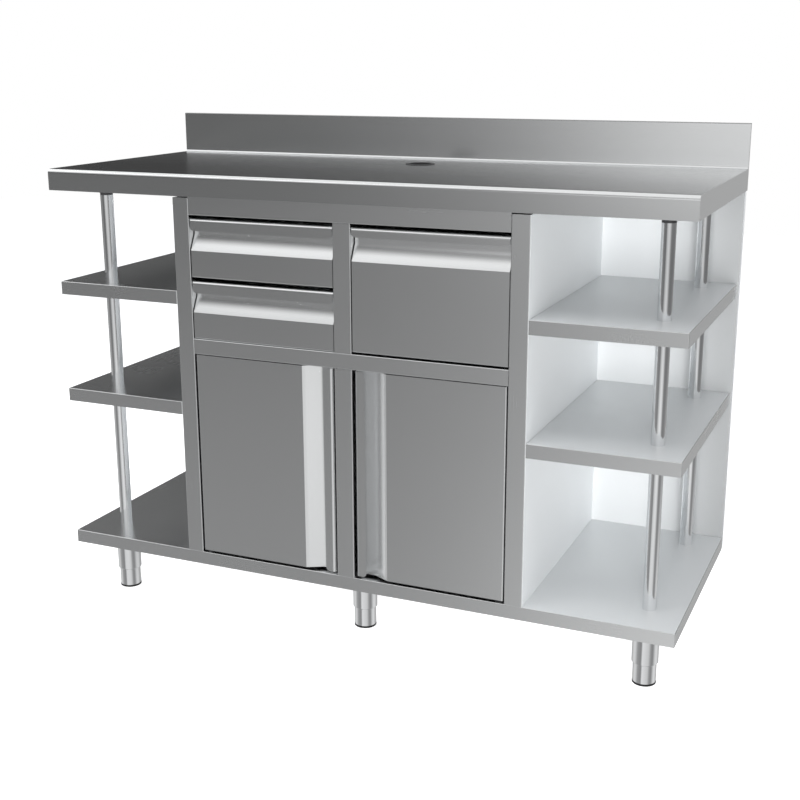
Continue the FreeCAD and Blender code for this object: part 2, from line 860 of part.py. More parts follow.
def make_drawer_front(name, left, top, height):
    lip = LIP_HEIGHTS[name]
    body = new_body(f"{name}_drawer_front", f"{left} + drawer_side_gap", "panel_face",
                    f"{top} - ({height})")
    section = new_sketch(body, "YZ_Plane", "Section")
    path = pull_path(f"({height})", lip, "drawer_recess_width")
    folded_strip(section, [(back, up) for up, back in path], PULL_RADII, "body_sheet", -1)
    skin = pad(body, section, "front_width")
    lip_end = f"{height} - {lip}"
    corners = edges_where(skin, lambda p: near(p.z, lip_end), ALONG_Y)
    fillet(body, skin, corners, "pull_lip_corner")
    outline = [(back, up) for up, back in pull_end(f"({height})", "drawer_recess_width")]
    for offset in ("0", "front_width - body_sheet"):
        end = polygon(new_sketch(body, "YZ_Plane", "EndPlate", offset), outline)
        pad(body, end, "body_sheet")
    return body


def make_drawer_box(name, left, top, front_height):
    """Open box with rounded corners, folded from thin sheet."""
    bottom = f"{top} - ({front_height}) + box_rise"
    box_height = BOX_HEIGHTS[name]
    body = new_body(f"{name}_drawer_box", f"{left} + runner_thickness", "panel_face + skin_depth",
                    bottom)
    outline = new_sketch(body, "XY_Plane", "Outline")
    rectangle(outline, "0", "0", "box_width", "box_depth")
    block = pad(body, outline, box_height)
    uprights = edges_where(block, lambda p: True, ALONG_Z)
    block = fillet(body, block, uprights, "box_corner_radius")
    foot = edges_where(block, lambda p: near(p.z, "0"))
    block = fillet(body, block, foot, "edge_round")
    mouth = faces_where(block, lambda p: near(p.z, box_height))
    shell(body, block, mouth, "body_sheet")
    return body


RUNNERS = {
    # member: (height, distance of its web from the wall, how far its lips reach, lips towards the drawer)
    "outer": ("runner_height", "0", "runner_thickness - 2 * runner_sheet - 2 * runner_play", True),
    "middle": ("middle_runner_height", "runner_sheet + runner_play",
               "runner_thickness - 3 * runner_sheet - 2 * runner_play", True),
    "inner": ("inner_runner_height", "runner_thickness",
              "runner_thickness - 2 * runner_sheet - 2 * runner_play", False),
}


def make_runner(label, member, wall_x, hand, z):
    """C section along Y; hand 1 opens to +X for a runner on the left wall."""
    height, web, reach, toward_drawer = RUNNERS[member]
    body = new_body(label, f"{wall_x} + {hand} * ({web})",
                    "panel_face + skin_depth + runner_front_gap", z)
    sketch = new_sketch(body, "XZ_Plane", "Section")
    way = hand if toward_drawer else -hand
    corners = [
        (f"{way} * ({reach})", f"-({height}) / 2"),
        ("0", f"-({height}) / 2"),
        ("0", f"({height}) / 2"),
        (f"{way} * ({reach})", f"({height}) / 2"),
    ]
    folded_strip(sketch, corners, ["runner_bend"] * 2, "runner_sheet", -way)
    pad(body, sketch, "runner_length", reverse=True)
    return body


def make_runner_pair(name, member, left, top, front_height):
    z = f"{top} - ({front_height}) + box_rise + runner_rise"
    members = [
        make_runner(f"{name}_{member}_runner_left", member, left, 1, z),
        make_runner(f"{name}_{member}_runner_right", member, f"{left} + opening_width", -1, z),
    ]
    return group(f"{name}_drawer_{member}_runners", members)


# ---------------------------------------------------------------- doors

def make_door_skin(side):
    """Outer skin; along runs from the hinge edge (0) to the pull."""
    hand = HANDS[side]
    hinge = f"{hand} * (opening_outer - door_hinge_gap)"
    body = new_body(f"{side}_door_skin", hinge, "panel_face", "door_bottom")

    def across(points):
        return [(f"{-hand} * ({along})", back) for along, back in points]

    section = new_sketch(body, "XY_Plane", "Section")
    path = pull_path("(door_width)", "door_lip_width", "door_recess_width")
    folded_strip(section, across(path), PULL_RADII, "body_sheet", -hand)
    skin = pad(body, section, "door_height")
    lip_end = f"{-hand} * (door_width - door_lip_width)"
    corners = edges_where(skin, lambda p: near(p.x, lip_end), ALONG_Y)
    fillet(body, skin, corners, "pull_lip_corner")
    outline = across(pull_end("(door_width)", "door_recess_width"))
    for offset in ("0", "door_height - body_sheet"):
        end = polygon(new_sketch(body, "XY_Plane", "EndPlate", offset), outline)
        pad(body, end, "body_sheet")
    holes = new_sketch(body, "XY_Plane", "PinHoles")
    circle(holes, f"{-hand} * pivot_inset", "door_thickness / 2", "pivot_diameter")
    cut(body, holes, "2 * door_height", symmetric=True)
    return body


def make_door_liner(side):
    """Pan that closes the door's back, with its edge turned forward between the end plates."""
    hand = HANDS[side]
    hinge = f"{hand} * (opening_outer - door_hinge_gap)"
    body = new_body(f"{side}_door_liner", hinge, "panel_face + skin_depth", "door_bottom")
    sheet_outline = new_sketch(body, "XZ_Plane", "Outline")
    rectangle(sheet_outline, f"{-hand} * edge_round", "edge_round",
              f"{-hand} * (door_width - edge_round)", "door_height - edge_round")
    pad(body, sheet_outline, "body_sheet", reverse=True)
    rim = new_sketch(body, "XZ_Plane", "Rim")
    far_side = "door_width - door_recess_width - 2 * liner_inset"
    rectangle(rim, f"{-hand} * liner_inset", "liner_inset",
              f"{-hand} * ({far_side})", "door_height - liner_inset")
    rectangle(rim, f"{-hand} * (liner_inset + body_sheet)", "liner_inset + body_sheet",
              f"{-hand} * ({far_side} - body_sheet)", "door_height - liner_inset - body_sheet")
    pad(body, rim, "liner_edge")
    pocket = new_sketch(body, "XZ_Plane", "PinRelief")
    rectangle(pocket, f"{-hand} * (pivot_inset - pivot_diameter)", "0",
              f"{-hand} * (pivot_inset + pivot_diameter)", "door_height")
    cut(body, pocket, "2 * liner_edge", reverse=True)
    return body


def make_pivot_pins(side):
    members = []
    levels = [
        ("low", "door_bottom - door_bottom_gap - body_sheet - pivot_engagement",
         "door_bottom_gap + body_sheet + pivot_engagement + pivot_in_door"),
        ("high", "door_top - pivot_in_door", "pivot_in_door + door_top_gap + pivot_engagement"),
    ]
    for level, z, run in levels:
        body = new_body(f"{side}_door_{level}_pin", PIVOT_X[side], "face + pivot_back", z)
        sketch = circle(new_sketch(body, "XY_Plane", "Section"), "0", "0", "pivot_diameter")
        pad(body, sketch, run)
        members.append(body)
    return group(f"{side}_door_pivot_pins", members)


def make_pivot_bushes():
    """Lower bushes stand on the base and carry the door; upper ones hang in the mid rail."""
    members = []
    bore = "bush_bore / 2"
    outer = "bush_outer / 2"
    rim = "bush_outer / 2 + bush_rim"
    for side, x in PIVOT_X.items():
        low = new_body(f"{side}_low_bush", x, "face + pivot_back", "base_top")
        revolve(low, [
            (bore, "-body_sheet - pivot_engagement"),
            (outer, "-body_sheet - pivot_engagement"),
            (outer, "0"),
            (rim, "0"),
            (rim, "bush_rim_height"),
            (outer, "bush_rim_height"),
            (outer, "door_bottom_gap - door_rest_gap"),
            (bore, "door_bottom_gap - door_rest_gap"),
        ])
        high = new_body(f"{side}_high_bush", x, "face + pivot_back", "mid_rail_bottom")
        revolve(high, [
            (bore, "-bush_rim_height"),
            (rim, "-bush_rim_height"),
            (rim, "0"),
            (outer, "0"),
            (outer, "pivot_engagement"),
            (bore, "pivot_engagement"),
        ])
        members += [low, high]
    return group("door_pivot_bushes", members)


def make_catches():
    members = []
    for side, hand in HANDS.items():
        handle_edge = f"{hand} * (opening_inner + door_handle_gap + catch_inset)"
        body = new_body(f"{side}_catch", handle_edge, "face", "mid_rail_bottom")
        sketch = new_sketch(body, "YZ_Plane", "Section")
        rectangle(sketch, "panel_setback + door_thickness + door_rest_gap", "-catch_height",
                  "mid_rail_shelf", "0")
        pad(body, sketch, "catch_length", symmetric=True)
        members.append(body)
    return group("door_catches", members)


# ---------------------------------------------------------------- feet

FOOT_SPOTS = {
    "front_left": ("-length / 2 + foot_end_inset", "front + front_foot_setback"),
    "front_middle": ("-middle_foot_shift", "front + middle_foot_setback"),
    "front_right": ("length / 2 - foot_end_inset", "front + front_foot_setback"),
    "rear_left": ("-length / 2 + foot_end_inset", "rear - front_foot_setback"),
    "rear_middle": ("-middle_foot_shift", "rear - middle_foot_setback"),
    "rear_right": ("length / 2 - foot_end_inset", "rear - front_foot_setback"),
}


def make_foot_sleeves():
    """Upper foot tubes: a bevelled collar guides the cup, a threaded bush takes its screw."""
    outer = "sleeve_diameter / 2"
    inner = "sleeve_diameter / 2 - sleeve_wall"
    collar = "cup_diameter / 2 + cup_play"
    bore = "screw_diameter / 2 + screw_play"
    bush = f"{bore} + screw_bush_wall"
    members = []
    for name, (x, y) in FOOT_SPOTS.items():
        body = new_body(f"{name}_foot_sleeve", x, y, "foot_height")
        revolve(body, [
            (bore, "-foot_plate - screw_bush_length"),
            (bush, "-foot_plate - screw_bush_length"),
            (bush, "-foot_plate"),
            (inner, "-foot_plate"),
            (inner, "-sleeve_height + sleeve_collar"),
            (collar, "-sleeve_height + sleeve_collar"),
            (collar, "-sleeve_height"),
            (f"{outer} - sleeve_bevel", "-sleeve_height"),
            (outer, "-sleeve_height + sleeve_bevel"),
            (outer, "0"),
            (bore, "0"),
        ])
        members.append(body)
    return group("foot_sleeves", members)


def make_foot_cup(name, x, y):
    """Lower foot: an open cup with the adjusting screw standing in its middle."""
    body = new_body(f"{name}_foot_cup", x, y, "pad_height")
    outer = "cup_diameter / 2"
    screw = "screw_diameter / 2"
    revolve(body, [
        ("0", "0"),
        (f"{outer} - cup_wall", "0"),
        (outer, "cup_wall"),
        (outer, "cup_height"),
        (f"{outer} - cup_wall", "cup_height"),
        (f"{outer} - cup_wall", "foot_plate"),
        (screw, "foot_plate"),
        (screw, "screw_height"),
        ("0", "screw_height"),
    ])
    return body


def make_foot_pad(name, x, y):
    body = new_body(f"{name}_foot_pad", x, y)
    rim = "cup_diameter / 2 + pad_rim"
    revolve(body, [
        ("0", "0"),
        (f"{rim} - pad_rim", "0"),
        (rim, "pad_rim"),
        (rim, "pad_height"),
        ("0", "pad_height"),
    ])
    return body


# ---------------------------------------------------------------- assembly

keep(make_worktop())
keep(make_worktop_stiffeners())
keep(make_hose_grommet())
keep(make_back_panel())
keep(make_base_shelf())
keep(make_base_channels())
for side_name in HANDS:
    for level_name in ("upper", "lower"):
        keep(make_side_shelf(side_name, level_name))
for post_name, post_spot in POST_SPOTS.items():
    keep(make_post(post_name, *post_spot))
keep(make_post_bushes())
keep(make_tie_rods())
keep(make_nuts())
for side_name in HANDS:
    keep(make_carcass_side(side_name))
keep(channel_rail("top_rail", "-(opening_outer)", "2 * (opening_outer)", "top_rail_bottom",
                  "top_rail_height", "stile_return"))
keep(make_mid_rail())
keep(make_mullion())
for side_name in HANDS:
    keep(make_drawer_housing(side_name))
for drawer, (opening_left, front_top, front_size) in DRAWERS.items():
    keep(make_drawer_front(drawer, opening_left, front_top, front_size))
    keep(make_drawer_box(drawer, opening_left, front_top, front_size))
    for member_name in RUNNERS:
        keep(make_runner_pair(drawer, member_name, opening_left, front_top, front_size))
for side_name in HANDS:
    keep(make_door_skin(side_name))
    keep(make_door_liner(side_name))
    keep(make_pivot_pins(side_name))
keep(make_pivot_bushes())
keep(make_catches())
keep(make_foot_sleeves())
for foot_name, foot_spot in FOOT_SPOTS.items():
    keep(make_foot_cup(foot_name, *foot_spot))
    keep(make_foot_pad(foot_name, *foot_spot))

doc.recompute()
for item in doc.Objects:
    if "Invalid" in item.State or "Error" in item.State:
        raise RuntimeError(f"{item.Label} failed: {item.State}")
os.makedirs("parts", exist_ok=True)
for node in NODES:
    if node.Shape.isNull() or not node.Shape.isValid():
        raise RuntimeError(f"{node.Label} has no valid shape")
for node in NODES:
    node.Shape.exportStep(f"parts/{node.Label}.step")
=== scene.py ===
import math

import bpy
from mathutils import Matrix, Vector


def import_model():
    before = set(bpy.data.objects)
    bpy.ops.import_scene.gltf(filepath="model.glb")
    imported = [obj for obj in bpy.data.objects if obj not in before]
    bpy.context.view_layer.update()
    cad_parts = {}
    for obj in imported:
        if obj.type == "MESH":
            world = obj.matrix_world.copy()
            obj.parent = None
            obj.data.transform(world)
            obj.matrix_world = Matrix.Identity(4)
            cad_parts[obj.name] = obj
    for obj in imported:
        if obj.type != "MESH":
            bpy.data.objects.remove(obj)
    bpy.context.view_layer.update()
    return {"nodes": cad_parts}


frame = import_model()
nodes = frame["nodes"]

# Metres. X = 0 is the middle, the front faces -Y, +Z is up.

# ---------------------------------------------------------------- colours and grain

STEEL = (0.775, 0.785, 0.79)
BRIGHT_STEEL = (0.76, 0.77, 0.775)
# below: a lighter, matt copy of the steel for the panels and shelf tops in the open bays; its
# lightness is painted light
PAINTED_LIGHT_STEEL = (0.88, 0.90, 0.91)
TUBE_STEEL = (0.80, 0.81, 0.82)
ZINC = (0.60, 0.62, 0.66)
BLACK = (0.018, 0.018, 0.019)
RUBBER = (0.014, 0.014, 0.014)

# for each direction of the brushing, how much its noise is squeezed along X, Y and Z
GRAIN = {
    "X": (4.0, 900.0, 900.0),
    "Y": (900.0, 4.0, 900.0),
    "Z": (900.0, 900.0, 4.0),
}

# ---------------------------------------------------------------- places on the object

UPSTAND_TOP = 1.1705
UPSTAND_EDGE_SHADE = (0.0022, 0.0012)   # below the upstand's top: where its painted edge shade begins, is full
WORKTOP_FRONT_SHADE = (-0.12, 0.27)        # Y from the worktop's front part in painted shade to its full-colour rear part
POST_STOP = 1.0005                  # foot of the black stop on each post
FRONT_PLANE = -0.29                 # front of the carcass
FRONT_FOLD = 0.0007                 # depth of a sheet's front fold
PANEL_PLANE = -0.288                # front of the drawers and doors
PULL_DEPTH = 0.003                  # behind the panel's front by more than this is inside a pull
PANEL_END_SHADE = (0.52, 0.76)           # distance from the middle over which painted shade darkens a panel to its ends
PANEL_FRONT_SHADE = (-0.29, 0.10)         # Y over which a panel's painted shade lightens from its front
PANEL_FOOT_SHADE = (0.15, 0.90)           # Z over which its painted shade lightens from its foot
CORE_HALF = 0.41                    # half of the carcass's width, inside its sides
RIGHT_BAYS = 0.40                   # X beyond which the right-hand shelves lie, whose tops get painted shading

# A pull's slope looks forward and, by its other part, up (drawers) or to one side (doors).
SLOPE_ASIDE = 0.454
SLOPE_FORWARD = 0.891
DRAWER_SLOPE = (0.0, -SLOPE_FORWARD, SLOPE_ASIDE)
LEFT_DOOR_SLOPE = (SLOPE_ASIDE, -SLOPE_FORWARD, 0.0)
RIGHT_DOOR_SLOPE = (-SLOPE_ASIDE, -SLOPE_FORWARD, 0.0)

# parts of a surface's direction that count as facing up and facing the front
FACES_UP = 0.95
FACES_FRONT = -0.5


# ---------------------------------------------------------------- node helpers

class Tree:
    """Short way to build a shader tree."""

    def __init__(self, owner):
        owner.use_nodes = True
        self.tree = owner.node_tree
        self.tree.nodes.clear()

    def node(self, kind, **settings):
        item = self.tree.nodes.new(kind)
        for key, setting in settings.items():
            setattr(item, key, setting)
        return item

    def link(self, source, target):
        self.tree.links.new(source, target)

    def feed(self, socket, source):
        """Link a socket to another one, or set it to a number."""
        if isinstance(source, bpy.types.NodeSocket):
            self.link(source, socket)
        else:
            socket.default_value = source

    def math(self, operation, *inputs):
        item = self.node("ShaderNodeMath", operation=operation)
        for socket, source in zip(item.inputs, inputs):
            self.feed(socket, source)
        return item.outputs[0]

    def span(self, source, low, high, out_low, out_high, smooth=False):
        """Bring a value from low..high to out_low..out_high."""
        item = self.node("ShaderNodeMapRange")
        item.interpolation_type = "SMOOTHSTEP" if smooth else "LINEAR"
        for name, setting in (("Value", source), ("From Min", low), ("From Max", high),
                              ("To Min", out_low), ("To Max", out_high)):
            self.feed(item.inputs[name], setting)
        return item.outputs["Result"]

    def noise(self, vector, scale, detail=2.0, roughness=0.5):
        item = self.node("ShaderNodeTexNoise")
        self.link(vector, item.inputs["Vector"])
        item.inputs["Scale"].default_value = scale
        item.inputs["Detail"].default_value = detail
        item.inputs["Roughness"].default_value = roughness
        return item.outputs["Fac"]

    def stretched(self, vector, scale):
        item = self.node("ShaderNodeMapping")
        self.link(vector, item.inputs["Vector"])
        item.inputs["Scale"].default_value = scale
        return item.outputs["Vector"]

    def ramp(self, source, stops):
        """Colour by a value: each stop is a value and its colour."""
        item = self.node("ShaderNodeValToRGB")
        self.link(source, item.inputs["Fac"])
        elements = item.color_ramp.elements
        while len(elements) < len(stops):
            elements.new(1.0)
        for element, (position, colour) in zip(elements, stops):
            element.position = position
            element.color = (*colour, 1.0)
        return item.outputs["Color"]

    def scaled(self, vector, factor):
        item = self.node("ShaderNodeVectorMath", operation="SCALE")
        self.link(vector, item.inputs[0])
        self.link(factor, item.inputs["Scale"])
        return item.outputs["Vector"]

    def split(self, vector):
        """The X, Y and Z parts of a vector."""
        item = self.node("ShaderNodeSeparateXYZ")
        self.link(vector, item.inputs[0])
        return item.outputs

    def facing(self):
        """The parts of the surface's direction, in the piece's own axes."""
        return self.split(self.node("ShaderNodeTexCoord").outputs["Normal"])

    def shown(self):
        """1 for what the camera, a reflection or a clear body shows, 0 for light on things."""
        path = self.node("ShaderNodeLightPath")
        indirect = self.math("MAXIMUM", path.outputs["Is Glossy Ray"],
                             path.outputs["Is Transmission Ray"])
        return self.math("MAXIMUM", path.outputs["Is Camera Ray"], indirect)

    def principled(self, colour, roughness, metallic=0.0, normal=None):
        shader = self.node("ShaderNodeBsdfPrincipled")
        self.link(colour, shader.inputs["Base Color"])
        self.feed(shader.inputs["Roughness"], roughness)
        shader.inputs["Metallic"].default_value = metallic
        if normal is not None:
            self.link(normal, shader.inputs["Normal"])
        return shader.outputs["BSDF"]

    def mixed(self, factor, first, second):
        """The first shader where the factor is 0, the second where it is 1."""
        item = self.node("ShaderNodeMixShader")
        self.link(factor, item.inputs["Fac"])
        self.link(first, item.inputs[1])
        self.link(second, item.inputs[2])
        return item.outputs["Shader"]

    def close(self, shader, output="ShaderNodeOutputMaterial"):
        self.link(shader, self.node(output).inputs["Surface"])


def start(name):
    """A new material, its tree and its object coordinates."""
    material = bpy.data.materials.new(name)
    tree = Tree(material)
    return material, tree, tree.node("ShaderNodeTexCoord").outputs["Object"]


def tinted(colour, factor):
    return tuple(min(1.0, channel * factor) for channel in colour)


def mottled(tree, source, colour):
    """A colour that wanders a little darker and lighter with a noise."""
    return tree.ramp(source, [(0.3, tinted(colour, 0.85)), (0.7, tinted(colour, 1.2))])


def uneven(tree, source, middle, reach):
    """A number that wanders round its middle with a noise."""
    return tree.span(source, 0.3, 0.7, middle - reach, middle + reach)


# ---------------------------------------------------------------- materials of the object

def steel_shader(tree, place, colour, roughness, grain, metallic=1.0, speckle=0.006, streak=0.003,
                 shade=None, normal=None):
    """Satin stainless sheet, brushed along one axis, with speckle and soft clouds in its gloss."""
    brushing = tree.noise(tree.stretched(place, GRAIN[grain]), 1.0)
    clouds = tree.noise(place, 5.0, detail=3.0)
    dots = tree.noise(place, 310.0, detail=4.0, roughness=0.7)
    reach = streak + speckle
    blend = tree.math("ADD", tree.math("MULTIPLY", brushing, streak / reach),
                      tree.math("MULTIPLY", dots, speckle / reach))
    tone = tree.ramp(blend, [(0.25, tinted(colour, 1.0 - reach)),
                             (0.75, tinted(colour, 1.0 + reach))])
    if shade is not None:
        tone = tree.scaled(tone, shade)
    wear = tree.math("ADD", tree.math("MULTIPLY", brushing, 0.3),
                     tree.math("MULTIPLY", clouds, 0.7))
    return tree.principled(tone, uneven(tree, wear, roughness, 0.006), metallic, normal)


def steel(name, colour, roughness, grain, **more):
    """Plain sheet, tube or plated steel."""
    material, tree, place = start(name)
    tree.close(steel_shader(tree, place, colour, roughness, grain, **more))
    return material


def worktop_steel(name):
    """The worktop's sheet with painted shade: its top is darker to the front, and the upstand's top
    edge is darkened.
    """
    material, tree, place = start(name)
    part = tree.split(place)
    begin, full = UPSTAND_EDGE_SHADE
    # painted shade: the upstand's top 1.2 mm is darkened to half its colour
    edge = tree.span(part["Z"], UPSTAND_TOP - begin, UPSTAND_TOP - full, 1.0, 0.5)
    on_top = tree.math("MULTIPLY", tree.math("GREATER_THAN", tree.facing()["Z"], FACES_UP),
                       tree.math("LESS_THAN", part["Z"], UPSTAND_TOP - 0.05))
    # painted shade: in front of Y = -0.12 the top has 0.61 of its colour, full from Y = 0.27
    front_shade = tree.span(part["Y"], *WORKTOP_FRONT_SHADE, -0.39, 0.0)
    shade = tree.math("ADD", edge, tree.math("MULTIPLY", on_top, front_shade))
    tree.close(steel_shader(tree, place, STEEL, 0.2, "X", speckle=0.016, shade=shade))
    return material


def panel_steel(name, end_shade, foot_shade, core):
    """Lighter matt sheet, by painted light, with painted shade to its front, foot and ends. Its
    front fold and core are satin.
    """
    material, tree, place = start(name)
    part = tree.split(place)
    across = tree.math("ABSOLUTE", part["X"])
    satin_part = tree.math("MAXIMUM", tree.math("LESS_THAN", part["Y"], FRONT_PLANE + FRONT_FOLD),
                           tree.math("LESS_THAN", across, core))
    inside = tree.math("LESS_THAN", tree.facing()["Y"], FACES_FRONT)
    # painted shade: a face that looks to the front darkens to its ends, down to end_shade of its
    # colour
    ends = tree.span(tree.math("MULTIPLY", inside, across), *PANEL_END_SHADE, 1.0, end_shade,
                     smooth=True)
    # painted shade: 0.84 of the colour at the panel's front, full from Y = 0.10, and foot_shade at
    # its foot
    shade = tree.math("MULTIPLY", ends, tree.span(part["Y"], *PANEL_FRONT_SHADE, 0.84, 1.0))
    shade = tree.math("MULTIPLY", shade, tree.span(part["Z"], *PANEL_FOOT_SHADE, foot_shade, 1.0))
    # the lighter, matt colour here is painted light
    painted_light = steel_shader(tree, place, PAINTED_LIGHT_STEEL, 0.5, "Z", metallic=0.3, shade=shade)
    satin = steel_shader(tree, place, STEEL, 0.27, "Z")
    tree.close(tree.mixed(satin_part, painted_light, satin))
    return material


def pull_steel(name, grain, axis, upright, steep, slope, metallic=0.96):
    """Satin front. The back of its pull rolls from upright into the slope, along one axis."""
    material, tree, place = start(name)
    part = tree.split(place)
    in_pull = tree.math("MULTIPLY", tree.math("GREATER_THAN", part["Y"], PANEL_PLANE + PULL_DEPTH),
                        tree.math("LESS_THAN", tree.facing()["Y"], FACES_FRONT))
    roll = tree.node("ShaderNodeVectorMath", operation="MULTIPLY_ADD")
    tree.link(tree.span(part[axis], upright, steep, 0.0, 1.0, smooth=True), roll.inputs[0])
    roll.inputs[1].default_value = (slope[0], slope[1] + 1.0, slope[2])
    roll.inputs[2].default_value = (0.0, -1.0, 0.0)
    turn = tree.node("ShaderNodeVectorTransform", vector_type="NORMAL", convert_from="OBJECT",
                     convert_to="WORLD")
    tree.link(roll.outputs["Vector"], turn.inputs["Vector"])
    unit = tree.node("ShaderNodeVectorMath", operation="NORMALIZE")
    tree.link(turn.outputs["Vector"], unit.inputs[0])
    satin = steel_shader(tree, place, STEEL, 0.25, grain, speckle=0.004)
    rolled = steel_shader(tree, place, BRIGHT_STEEL, 0.22, grain, metallic=metallic,
                          normal=unit.outputs["Vector"])
    tree.close(tree.mixed(in_pull, satin, rolled))
    return material


def shelf_steel(name, grain):
    """Satin sheet. The tops of the right-hand shelves have painted shading: a matt copy of the
    lighter steel.
    """
    material, tree, place = start(name)
    painted_top = tree.math("MULTIPLY", tree.math("GREATER_THAN", tree.facing()["Z"], FACES_UP),
                         tree.math("GREATER_THAN", tree.split(place)["X"], RIGHT_BAYS))
    satin = steel_shader(tree, place, STEEL, 0.27, grain, speckle=0.003, streak=0.002)
    # painted shading: the right-hand tops' matt colour, at 0.78 of the lighter steel, stands in for
    # how light falls in those bays
    matt = steel_shader(tree, place, tinted(PAINTED_LIGHT_STEEL, 0.78), 0.42, grain, metallic=0.5,
                        speckle=0.003, streak=0.002)
    tree.close(tree.mixed(painted_top, satin, matt))
    return material


def post_steel(name):
    """Polished tube that ends in the black stop under the worktop."""
    material, tree, place = start(name)
    tube = steel_shader(tree, place, TUBE_STEEL, 0.12, "Z", streak=0.002)
    stop = tree.principled(mottled(tree, tree.noise(place, 900.0), BLACK), 0.45)
    at_top = tree.math("GREATER_THAN", tree.split(place)["Z"], POST_STOP)
    tree.close(tree.mixed(at_top, tube, stop))
    return material


def plastic(name, colour, roughness, grain_scale, grain_depth):
    """Moulded plastic or rubber with a fine eroded surface."""
    material, tree, place = start(name)
    grain = tree.noise(place, grain_scale, detail=3.0)
    tone = mottled(tree, tree.noise(place, 40.0), colour)
    bump = tree.node("ShaderNodeBump")
    bump.inputs["Strength"].default_value = 0.5
    bump.inputs["Distance"].default_value = grain_depth
    tree.link(grain, bump.inputs["Height"])
    tree.close(tree.principled(tone, uneven(tree, grain, roughness, 0.06),
                               normal=bump.outputs["Normal"]))
    return material


MATERIALS = {
    "worktop": worktop_steel("worktop_satin_steel"),
    "sheet_x": steel("sheet_satin_steel_x", STEEL, 0.27, "X"),
    "sheet_z": steel("sheet_satin_steel_z", STEEL, 0.27, "Z"),
    "shelf": shelf_steel("shelf_satin_steel", "Y"),
    "base": shelf_steel("base_satin_steel", "X"),
    "drawer_high": pull_steel("drawer_satin_steel_high", "X", "Z", upright=0.9400, steep=0.9090,
                              slope=DRAWER_SLOPE),
    "drawer_low": pull_steel("drawer_satin_steel_low", "X", "Z", upright=0.7985, steep=0.7675,
                             slope=DRAWER_SLOPE),
    "door_left": pull_steel("door_satin_steel_left", "Z", "X", upright=-0.0565, steep=-0.0690,
                            slope=LEFT_DOOR_SLOPE),
    "door_right": pull_steel("door_satin_steel_right", "Z", "X", upright=0.0180, steep=0.0440,
                             slope=RIGHT_DOOR_SLOPE, metallic=0.90),
    # painted shade: the sides have none at their ends and foot; the back falls to 0.42 at its ends
    # and 0.88 at its foot
    "side": panel_steel("painted_light_side_steel", end_shade=1.0, foot_shade=1.0, core=CORE_HALF),
    "back": panel_steel("painted_light_back_steel", end_shade=0.42, foot_shade=0.88, core=0.0),
    "tube": steel("polished_tube_steel", TUBE_STEEL, 0.12, "Z", streak=0.002),
    "post": post_steel("polished_post_steel"),
    "zinc": steel("zinc_plated_steel", ZINC, 0.34, "Y", speckle=0.06, streak=0.02),
    "plastic": plastic("black_moulded_plastic", BLACK, 0.45, 900.0, 0.00004),
    "rubber": plastic("black_foot_rubber", RUBBER, 0.65, 700.0, 0.00006),
}


def material_of(node):
    """The key in MATERIALS for a named node."""
    if node == "worktop":
        return "worktop"
    if node in ("post_top_bushes", "door_pivot_bushes", "door_catches", "hose_grommet"):
        return "plastic"
    if node.endswith("_foot_pad"):
        return "rubber"
    if node.endswith("_post"):
        return "post"
    if node.endswith("_foot_cup") or node == "foot_sleeves":
        return "tube"
    if node.endswith(("_runners", "_pins")) or node in ("post_tie_rods", "tie_rod_nuts"):
        return "zinc"
    if node.endswith("_drawer_front"):
        return "drawer_low" if node.startswith("lower") else "drawer_high"
    if node.endswith("_door_skin"):
        return "door_left" if node.startswith("left") else "door_right"
    if node.endswith("_carcass_side"):
        return "side"
    if node == "back_panel":
        return "back"
    if node == "centre_mullion":
        return "sheet_z"
    if node == "base_shelf":
        return "base"
    if node.endswith("_shelf"):
        return "shelf"
    return "sheet_x"


for node_name, piece in nodes.items():
    piece.data.materials.clear()
    piece.data.materials.append(MATERIALS[material_of(node_name)])


# ---------------------------------------------------------------- floor

FLOOR_LIFT = 0.58       # glow that brings the floor to the backdrop's white
FLOOR_REACH = 7.0


def stage_mesh(name, vertices, faces, material):
    mesh = bpy.data.meshes.new(name)
    mesh.from_pydata(vertices, [], faces)
    mesh.materials.append(material)
    item = bpy.data.objects.new(name, mesh)
    bpy.context.scene.collection.objects.link(item)
    return item


def floor_material():
    """White for the camera, with the object's soft shadow left on it."""
    material, tree, place = start("studio_floor")
    tone = tree.ramp(tree.noise(place, 1.5), [(0.3, (0.93, 0.93, 0.93)), (0.7, (0.95, 0.95, 0.95))])
    matt = tree.node("ShaderNodeBsdfDiffuse")
    tree.link(tone, matt.inputs["Color"])
    glow = tree.node("ShaderNodeEmission")
    tree.link(tree.math("MULTIPLY", tree.shown(), FLOOR_LIFT), glow.inputs["Strength"])
    both = tree.node("ShaderNodeAddShader")
    tree.link(matt.outputs["BSDF"], both.inputs[0])
    tree.link(glow.outputs["Emission"], both.inputs[1])
    tree.close(both.outputs["Shader"])
    material.cycles.emission_sampling = "NONE"
    return material


def floor():
    corners = ((-1, -1), (1, -1), (1, 1), (-1, 1))
    item = stage_mesh("floor", [(FLOOR_REACH * x, FLOOR_REACH * y, 0.0) for x, y in corners],
                      [(0, 1, 2, 3)], floor_material())
    item.visible_glossy = False


floor()


# ---------------------------------------------------------------- reflectors round the object

FLAG_RADIUS = 25.0
FLAG_AIM = 0.7                  # height from which the elevations are taken
FLAG_REACH = (-75.0, 50.0)      # lowest and highest elevation, in degrees
FLAG_STEPS = 96
FULL_TURN = 360.0

